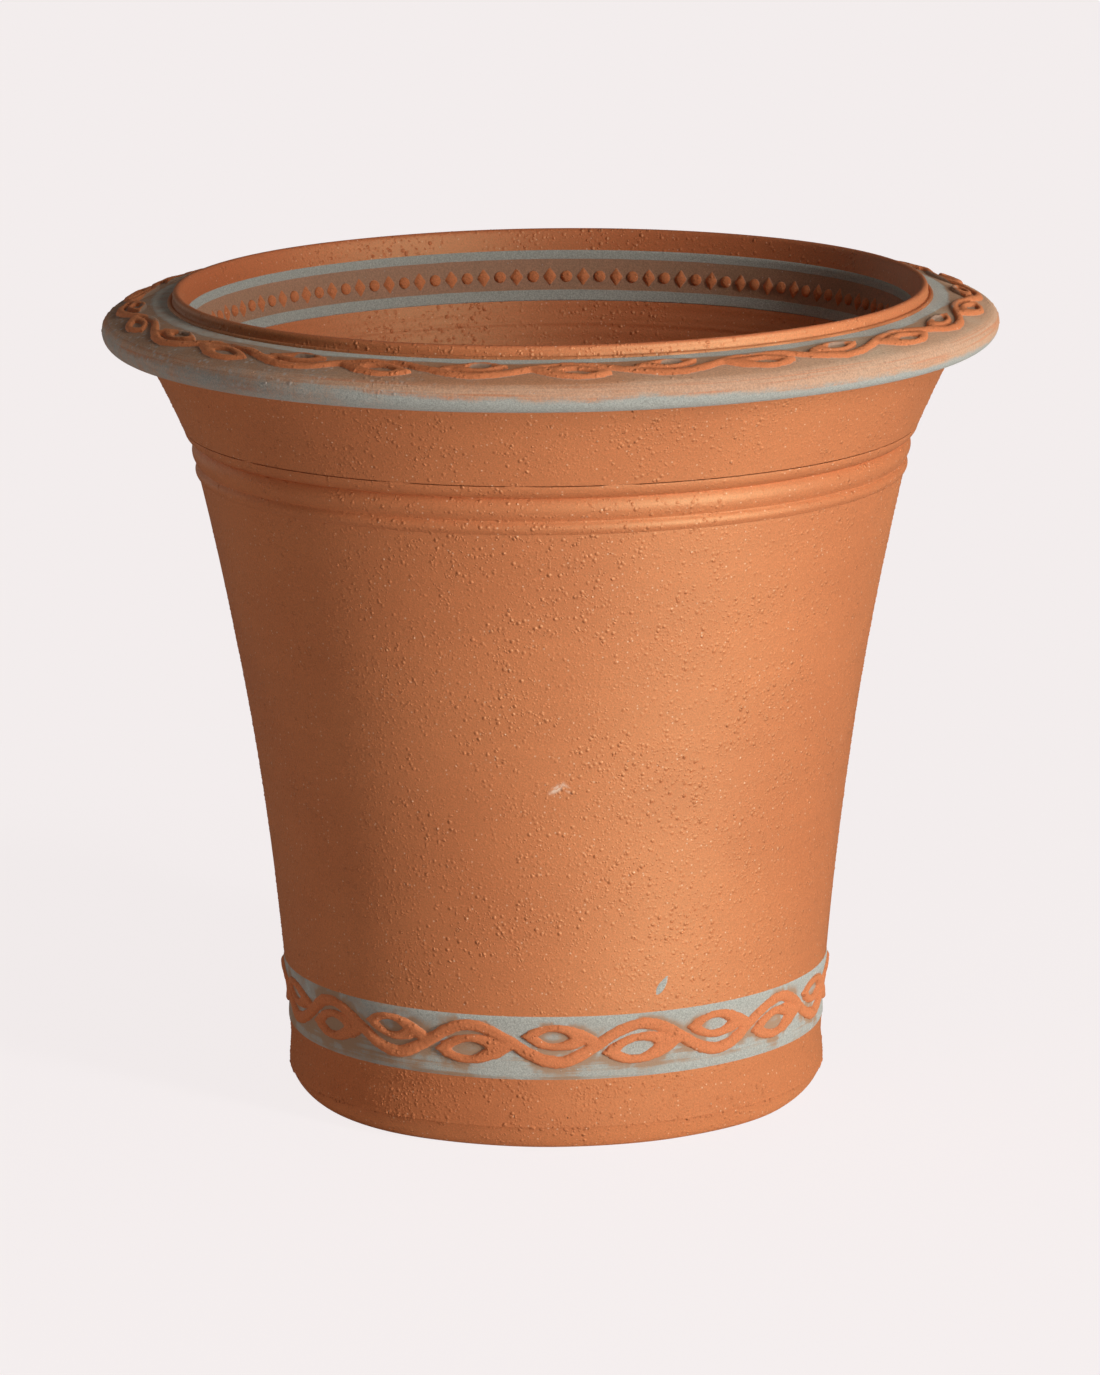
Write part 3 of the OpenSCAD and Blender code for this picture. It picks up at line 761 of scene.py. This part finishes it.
# on the rim the sponge missed what lies nearest the lip
rimVine = {"waves": 14, "phase": 2.9, "swing": 6.1, "stem": 1.8, "slim": 0.8, "squeeze": 0.75, "turn": -1,
           "relief": 1.35, "grid": 0.54, "half": 9.0, "plump": 0.96, "long": 0.88, "coat": 1.2,
           "ringR": 167.9}
leafShape = {"tip": -16.4, "end": 18.5, "hollowAt": -1.6, "hollowEnd": 8.0, "blunt": 2.2, "sway": 1.5}
neck = {"from": 11.0, "to": 22.0, "fromW": 2.6, "toW": 2.1}
# the leaf under a crest of the stem is longer than the one over a trough
leafSorts = ({"half": 6.2, "hollow": 2.8, "drop": -2.7, "long": 1.0, "tilt": 5.5},
             {"half": 5.6, "hollow": 2.6, "drop": -2.9, "long": 0.88, "tilt": 3.0})
# a strand's dome, and how uneven the hand left its width and height
strandShape = {"dome": 3.2, "power": 0.6, "fall": 1.4, "wide": 0.16, "fineWide": 0.08, "tall": 0.3,
               "fineTall": 0.1}
sheet = {"keep": -0.25, "back": -0.7, "under": 0.02, "fillet": 0.4, "coat": (2.4, 4.2), "wipe": 2.6}

def footPlace(a, v, rise):
    r = footCoatR(pot["vineZ"] + v) + rise
    return Vector((r * sin(a), -r * cos(a), pot["vineZ"] + v)) * mm

def rimPlace(a, v, rise):
    r = rimVine["ringR"] - v
    return Vector((r * sin(a), -r * cos(a), rimTop(r, rise))) * mm

def stemPath(v):
    steps = v["waves"] * 120
    path = []
    for i in range(steps):
        a = 2 * pi * i / steps
        swing = v["swing"] * v["squeeze"] * cos(v["waves"] * (a - radians(v["phase"])))
        path.append((a, swing, v["stem"]))
    return path

def leafPaths(v, ringR):
    # two strands round each leaf's hollow that close up at its ends, and a neck that runs into the stem
    s = leafShape
    dice = random.Random(v["waves"])
    strands, necks = [], []
    for i in range(2 * v["waves"]):
        sort = leafSorts[i % 2]
        middle = radians(v["phase"]) + pi * i / v["waves"]
        flip = 1 - 2 * (i % 2)
        lead = dice.uniform(-0.5, 0.5)
        lean = tan(radians(flip * sort["tilt"] + dice.uniform(-s["sway"], s["sway"])))
        size = dice.uniform(0.96, 1.03)
        long = sort["long"] * size * v["long"]
        plump = size * v["plump"]

        def lay(path, u, across, wide):
            a = middle + v["turn"] * (u * long + lead) / ringR
            path.append((a, (flip * (sort["drop"] + across) + u * lean) * v["squeeze"], wide * v["slim"]))

        for k in range(97):
            u = mix(s["tip"], s["end"], 0.5 - 0.48 * cos(pi * k / 96))
            far = (u / s["tip"]) ** s["blunt"] if u < 0 else (u / s["end"]) ** 2
            outer = sort["half"] * plump * (1 - far)
            inner = sort["hollow"] * plump * (1 - ((u - s["hollowAt"]) / s["hollowEnd"]) ** 2)
            middleLine, wide = max(0, (outer + inner) / 2), min(outer, (outer - inner) / 2)
            lay(strands, u, middleLine, wide)
            lay(strands, u, -middleLine, wide)
        for k in range(33):
            t = k / 32
            u = mix(neck["from"], neck["to"], t)
            stem = v["swing"] * cos(v["waves"] * (u * long + lead) / ringR)
            toStem = stem - sort["drop"] - flip * u * lean
            lay(necks, u, toStem * ease(t, 0, 1), mix(neck["fromW"], neck["toW"], t))
    return strands, necks

def strandRise(tree, path, at, relief):
    # height of one strand's dome over a point, and how far the point lies outside the strand
    s = strandShape
    co, i, gap = tree.find(at)
    wide = path[i][2] * (1 + s["wide"] * noise.noise(at * 230) + s["fineWide"] * noise.noise(at * 800))
    x = gap / mm / wide
    if x < 1:
        uneven = s["tall"] * noise.noise(at * 110 + Vector((5, 0, 0)))
        uneven += s["fineTall"] * noise.noise(at * 600)
        return relief * (1 + uneven) * (1 - x ** s["dome"]) ** s["power"], 0.0
    return -(x - 1) * wide * s["fall"], (x - 1) * wide

def vinePaths(v, place, ringR):
    paths = (stemPath(v), *leafPaths(v, ringR))
    return [(makeTree([place(a, across, 0) for a, across, wide in path]), path) for path in paths]

def join(a, b):
    # the higher of two strands, with a small fillet where they meet
    near = max(0, 1 - abs(a - b) / sheet["fillet"])
    return max(a, b) + near * near * sheet["fillet"] / 4

def makeVine(name, v, place, ringR, down, nodes):
    paths = vinePaths(v, place, ringR)
    bm = bmesh.new()
    bmesh.ops.create_grid(bm, x_segments=round(2 * pi * ringR / v["grid"]),
                          y_segments=round(2 * v["half"] / v["grid"]), size=1)
    layer = bm.verts.layers.float.new("rise")
    for vert in bm.verts:
        a, across = vert.co.x * pi, vert.co.y * v["half"]
        at = place(a, across, 0)
        stem, strand, end = [strandRise(tree, path, at, v["relief"])[0] for tree, path in paths]
        vert[layer] = max(join(stem, join(strand, end)), sheet["back"])
        vert.co = place(a, across, vert[layer])
    weld(bm)
    hidden = [f for f in bm.faces if max(vert[layer] for vert in f.verts) < sheet["keep"]]
    bmesh.ops.delete(bm, geom=hidden, context="FACES")
    made = bmesh.ops.extrude_face_region(bm, geom=bm.faces[:], use_keep_orig=True)["geom"]
    for vert in vertsOf(made):
        vert.co += down(vert.co) * (vert[layer] - sheet["back"] + sheet["under"]) * mm
        vert[layer] = sheet["back"]
    for vert in bm.verts:
        inward = ringR - fromAxisOf(vert.co)
        vert[layer] -= v["coat"] * ease(inward, *sheet["coat"])
    faceOut(bm)
    finishPiece(bm, name, reliefClay, nodes, crease=70)

def markNear(bm, v, place, ringR):
    # keeps on each point of a coat how near it is to the vine
    paths = vinePaths(v, place, ringR)

    def near(co):
        return exp(-min(strandRise(tree, path, co, 1)[1] for tree, path in paths) / sheet["wipe"])

    mark(bm, "near", near)

def towardsAxis(co):
    return Vector((-co.x, -co.y, 0)).normalized()

footCoat = {"rows": 26, "back": 0.2, "steps": 512}

def makeFootBand():
    t, rows = thrown["slipT"], footCoat["rows"]
    zs = [mix(pot["bandLow"], pot["bandHigh"], i / rows) for i in range(rows + 1)]
    front = [(wallR(z) - bandDip(z) + t * min(1, z - zs[0], zs[-1] - z), z) for z in zs]
    back = [(wallR(z) - bandDip(z) - footCoat["back"], z) for z in reversed(zs[1:-1:3])]
    bm = turnOnWheel(front + back, footCoat["steps"])
    ringR = footCoatR(pot["vineZ"])
    markNear(bm, footVine, footPlace, ringR)
    finishPiece(bm, "footCoat", footSlip, ["foot_slip"])
    makeVine("footVine", footVine, footPlace, ringR, towardsAxis, ["foot_vine_stem", "foot_vine_leaves"])

# A dab of slip that fell on the wall

dab = {"turn": 22.1, "z": 66.4, "long": 4.6, "wide": 1.6, "lean": 32.0, "rise": 0.22, "deep": 0.4}

def makeDab():
    bm = bmesh.new()
    bmesh.ops.create_grid(bm, x_segments=16, y_segments=8, size=1)
    lean = radians(dab["lean"])
    for vert in bm.verts:
        u, w = vert.co.x, vert.co.y * (1 - vert.co.x ** 2) ** 0.7
        rise = dab["rise"] * (1 - vert.co.y ** 2) * (1 - u * u) ** 0.5 - 0.05
        along, across = u * dab["long"], w * dab["wide"] * (1.1 - 0.3 * u)
        z = dab["z"] + along * cos(lean) - across * sin(lean)
        r = wallR(z) + rise
        a = radians(dab["turn"]) + (along * sin(lean) + across * cos(lean)) / r
        vert.co = Vector((r * sin(a), -r * cos(a), z)) * mm
    weld(bm)
    made = bmesh.ops.extrude_face_region(bm, geom=bm.faces[:], use_keep_orig=True)["geom"]
    for vert in vertsOf(made):
        vert.co += towardsAxis(vert.co) * dab["deep"] * mm
    faceOut(bm)
    finishPiece(bm, "slipDab", footSlip, crease=60)

# Lozenges and beads inside the mouth

ornament = {"count": 64, "z": 311.5, "wide": 3.7, "tall": 5.0, "deep": 1.6, "top": 0.38, "bevel": 0.16,
            "sink": -0.4, "bead": 2.5, "rise": 1.5}

def mouthSpot(a, sink):
    lean = atan2(thrown["mouthHighR"] - thrown["mouthLowR"], pot["mouthHigh"] - pot["mouthLow"])
    r = mouthR(ornament["z"]) - thrown["slipT"] + sink
    spot = Matrix.Translation(Vector((0, -r, ornament["z"])) * mm)
    return Matrix.Rotation(a, 4, "Z") @ spot @ Matrix.Rotation(radians(-90) + lean, 4, "X")

def layCopies(bm, places):
    # copies the first shape in the mesh to each place, then drops the first
    first = bm.verts[:] + bm.edges[:] + bm.faces[:]
    for place in places:
        made = bmesh.ops.duplicate(bm, geom=first)["geom"]
        bmesh.ops.transform(bm, matrix=place, verts=vertsOf(made))
    bmesh.ops.delete(bm, geom=vertsOf(first), context="VERTS")

def makeOrnament():
    o = ornament
    bm = bmesh.new()
    bmesh.ops.create_cone(bm, cap_ends=True, segments=4, radius1=1.0, radius2=o["top"], depth=1.0)
    bmesh.ops.bevel(bm, geom=bm.edges[:], offset=o["bevel"], affect="EDGES", segments=2, profile=0.5,
                    material=-1)
    bmesh.ops.scale(bm, vec=Vector((o["wide"], o["tall"], o["deep"])) * mm, verts=bm.verts)
    mark(bm, "rise", lambda co: co.z / mm - o["sink"])
    layCopies(bm, [mouthSpot(2 * pi * i / o["count"], o["sink"]) for i in range(o["count"])])
    finishPiece(bm, "mouthLozenges", reliefClay, ["mouth_lozenges"])
    bm = bmesh.new()
    bmesh.ops.create_uvsphere(bm, u_segments=12, v_segments=8, radius=1.0)
    bmesh.ops.scale(bm, vec=Vector((o["bead"], o["bead"], o["rise"])) * mm, verts=bm.verts)
    mark(bm, "rise", lambda co: co.z / mm)
    layCopies(bm, [mouthSpot(2 * pi * (i + 0.5) / o["count"], 0) for i in range(o["count"])])
    finishPiece(bm, "mouthBeads", reliefClay, ["mouth_beads"])

# Grog: lumps of fired grit under the clay's skin

grog = {"sides": 5, "line": [(0.0, 1.0), (0.75, 0.6), (1.6, -0.06)], "sink": -0.5,
        "long": (0.55, 1.0), "flat": (0.25, 0.46), "crowd": 36.0, "loose": (-0.35, 0.3)}

def makeStone():
    bm = bmesh.new()
    line = grog["line"] + [(0.0, grog["sink"])]
    verts = [bm.verts.new((r * mm, 0, z * mm)) for r, z in line]
    edges = [bm.edges.new(pair) for pair in zip(verts, verts[1:])]
    bmesh.ops.spin(bm, geom=verts + edges, cent=(0, 0, 0), axis=(0, 0, 1), angle=2 * pi,
                   steps=grog["sides"], use_merge=True)
    weld(bm)
    faceOut(bm)
    bm.verts.layers.float.new("across")
    stone = bpy.data.meshes.new("stone")
    bm.to_mesh(stone)
    bm.free()
    return stone

def scatterGrog(name, line, count, sizes, seed, look=terracotta, across=None):
    # lies in loose crowds, as the grit was never quite stirred in
    dice = random.Random(seed)
    stone = makeStone()
    rest = [0.0] * 3 * len(stone.vertices)
    stone.vertices.foreach_get("co", rest)
    spans = list(zip(line, line[1:]))
    weights = [dist(p, q) * (p[0] + q[0]) for p, q in spans]
    bm = bmesh.new()
    while count:
        p, q = dice.choices(spans, weights)[0]
        t = dice.random()
        r, z = mix(p[0], q[0], t), mix(p[1], q[1], t)
        turn = Matrix.Rotation(dice.uniform(0, 2 * pi), 4, "Z")
        place = turn @ Matrix.Translation((r * mm, 0, z * mm))
        if noise.noise(place.translation * grog["crowd"]) < dice.uniform(*grog["loose"]):
            continue
        count -= 1
        size = dice.triangular(sizes[0], sizes[2], sizes[1])
        long, tall = dice.uniform(*grog["long"]), dice.uniform(*grog["flat"])
        slope = pi - atan2(q[1] - p[1], q[0] - p[0])
        place = place @ Matrix.Rotation(slope, 4, "Y") @ Matrix.Rotation(dice.uniform(0, 6.3), 4, "Z")
        stone.vertices.foreach_set("co", rest)
        stone.transform(place @ Matrix.Diagonal((size, size * long, size * tall, 1)))
        if across:
            stone.attributes["across"].data.foreach_set("value", [across(r, z)] * len(stone.vertices))
        bm.from_mesh(stone)
    finishPiece(bm, name, look, crease=60)

makeBase()
makeWall()
makeCordons()
makeCollar()
makeRim()
makeLip()
makeMouthCoat()
makeFootBand()
makeVine("rimVine", rimVine, rimPlace, rimVine["ringR"], lambda co: Vector((0, 0, -1)),
         ["rim_vine_stem", "rim_vine_leaves"])
makeOrnament()
makeDab()

def stretch(line, z0, z1):
    return [p for p in line if z0 <= p[1] <= z1]

def insideLine():
    wall = [(wallR(z) - thrown["wallT"], z) for z in range(270, 180, -10)]
    return collarInner() + wall

# name, the line it lies on, how many, their least, usual and greatest size, and the seed
wallMiddle = (pot["bandHigh"] + pot["shoulderZ"]) / 2
fineGrit = (0.2, 0.31, 0.64)
footR, bevelZ = pot["footR"], pot["bevelZ"]
burr = [(footR - 0.5, bevelZ - 1.2), (footR, bevelZ), (footR, bevelZ + 1.4)]
scatterGrog("wallGrogLow", stretch(wallOuter(), pot["bandHigh"] + 1, wallMiddle), 8600, fineGrit, 11)
scatterGrog("wallGrogHigh", stretch(wallOuter(), wallMiddle, pot["shoulderZ"]), 9600, fineGrit, 14)
scatterGrog("footGrog", stretch(wallOuter(), bevelZ, pot["bandLow"]), 3400, (0.2, 0.32, 0.8), 12)
scatterGrog("collarGrog", collarOuter()[1:], 4600, fineGrit, 13)
scatterGrog("burrGrog", burr, 300, (0.2, 0.34, 1.0), 15)
scatterGrog("lipGrog", lipOuter()[8:], 1300, (0.1, 0.15, 0.26), 16)
scatterGrog("insideGrog", insideLine(), 3000, fineGrit, 17)
scatterGrog("rimGrog", rimSpread(21, 31), 900, (0.28, 0.4, 0.85), 18, rimSlip, rimAcross)
print("pieces made")

# Studio: a pale floor, soft boxes and a dim surround

studio = {"floor": 14.0, "paper": (0.962, 0.91, 0.91, 1), "paperShare": 0.9, "far": (0.42, 0.7),
          "farLevel": 0.931, "under": (0.09, 0.1, 0.05, 1.0), "bounce": (0.36, 0.33, 0.32, 1),
          "sky": (0.0, 0.9, 0.065, 0.13), "surround": (1.0, 0.92, 0.88, 1), "aimZ": 0.17}
# a soft box low on the right and a taller one above it, reflectors on the left and behind
lamps = {
    "softBox": {"turn": 45.0, "rise": 1.1, "far": 2.6, "size": (0.3, 0.4), "power": 37.0,
                "colour": (0.985, 1.0, 1.03)},
    "upperBox": {"turn": 45.0, "rise": 21.0, "far": 2.6, "size": (0.3, 1.4), "power": 35.0},
    "lowFill": {"turn": -52.0, "rise": -6.0, "far": 0.95, "size": (0.8, 0.12), "power": 1.66,
                "colour": (1.0, 0.94, 0.97), "matt": True},
    "sideFill": {"turn": -138.0, "rise": 6.0, "far": 2.6, "size": (0.7, 1.1), "power": 2.6},
}

def makeFloor():
    bm = bmesh.new()
    bmesh.ops.create_grid(bm, x_segments=2, y_segments=2, size=studio["floor"])
    material, tree, shader, spot = newMaterial("paper", {})
    tree.nodes.remove(shader)
    # well away from the pot the paper is even, so no lamp leaves a pool of light on it
    s = studio
    away = lengthOf(tree, spot)
    level = ramp(tree, away, *s["far"], 1.0, s["farLevel"])
    # painted shadow: the paper's glow is dimmed under the pot
    paintedShadow = ramp(tree, away, *s["under"])  # in the dark under the pot
    glow = addNode(tree, "Emission", {"Color": s["paper"], "Strength": times(tree, level, paintedShadow)})
    seen = addNode(tree, "LightPath").outputs["Is Camera Ray"]
    matt = addNode(tree, "BsdfDiffuse", {"Color": blend(tree, seen, s["bounce"], s["paper"])})
    share = times(tree, seen, ramp(tree, away, *s["far"], s["paperShare"], 1.0))
    both = addNode(tree, "MixShader", {0: share, 1: matt.outputs[0], 2: glow.outputs[0]})
    tree.links.new(both.outputs[0], tree.nodes["Material Output"].inputs["Surface"])
    floor = newObject(bm, "studioFloor", material)

def makeLamp(name, lamp):
    turn, rise = radians(lamp["turn"]), radians(lamp["rise"])
    away = Vector((sin(turn) * cos(rise), -cos(turn) * cos(rise), sin(rise)))
    data = bpy.data.lights.new(name, "AREA")
    data.shape = "RECTANGLE"
    data.size, data.size_y = lamp["size"]
    data.energy = lamp["power"]
    data.color = lamp.get("colour", (1, 1, 1))
    box = bpy.data.objects.new(name, data)
    box.visible_glossy = not lamp.get("matt", False)
    box.location = Vector((0, 0, studio["aimZ"])) + away * lamp["far"]
    box.rotation_euler = away.to_track_quat("Z", "Y").to_euler()
    scene.collection.objects.link(box)

def makeLights():
    for name, lamp in lamps.items():
        makeLamp(name, lamp)
    world = bpy.data.worlds.new("surround")
    world.use_nodes = True
    tree = world.node_tree
    part = addNode(tree, "SeparateXYZ", {"Vector": addNode(tree, "TexCoord").outputs["Generated"]})
    level = ramp(tree, part.outputs["Z"], *studio["sky"])
    setInputs(tree, tree.nodes["Background"], {"Color": studio["surround"], "Strength": level})
    scene.world = world

# Camera at the photograph's place: 2.9 m away, looking 12 degrees down

view = {"distance": 2.9189, "height": 0.7945, "pitch": 12.17, "roll": 0.48, "lens": 192.2,
        "shift": -0.00247}

def makeCamera():
    data = bpy.data.cameras.new("camera")
    data.lens = view["lens"]
    data.shift_x = view["shift"]
    camera = bpy.data.objects.new("camera", data)
    tilt = Matrix.Rotation(radians(90 - view["pitch"]), 4, "X")
    roll = Matrix.Rotation(radians(-view["roll"]), 4, "Z")
    camera.matrix_world = Matrix.Translation((0, -view["distance"], view["height"])) @ tilt @ roll
    scene.collection.objects.link(camera)
    scene.camera = camera

makeFloor()
makeLights()
makeCamera()
scene.view_settings.view_transform = "Standard"
print("studio and camera set")
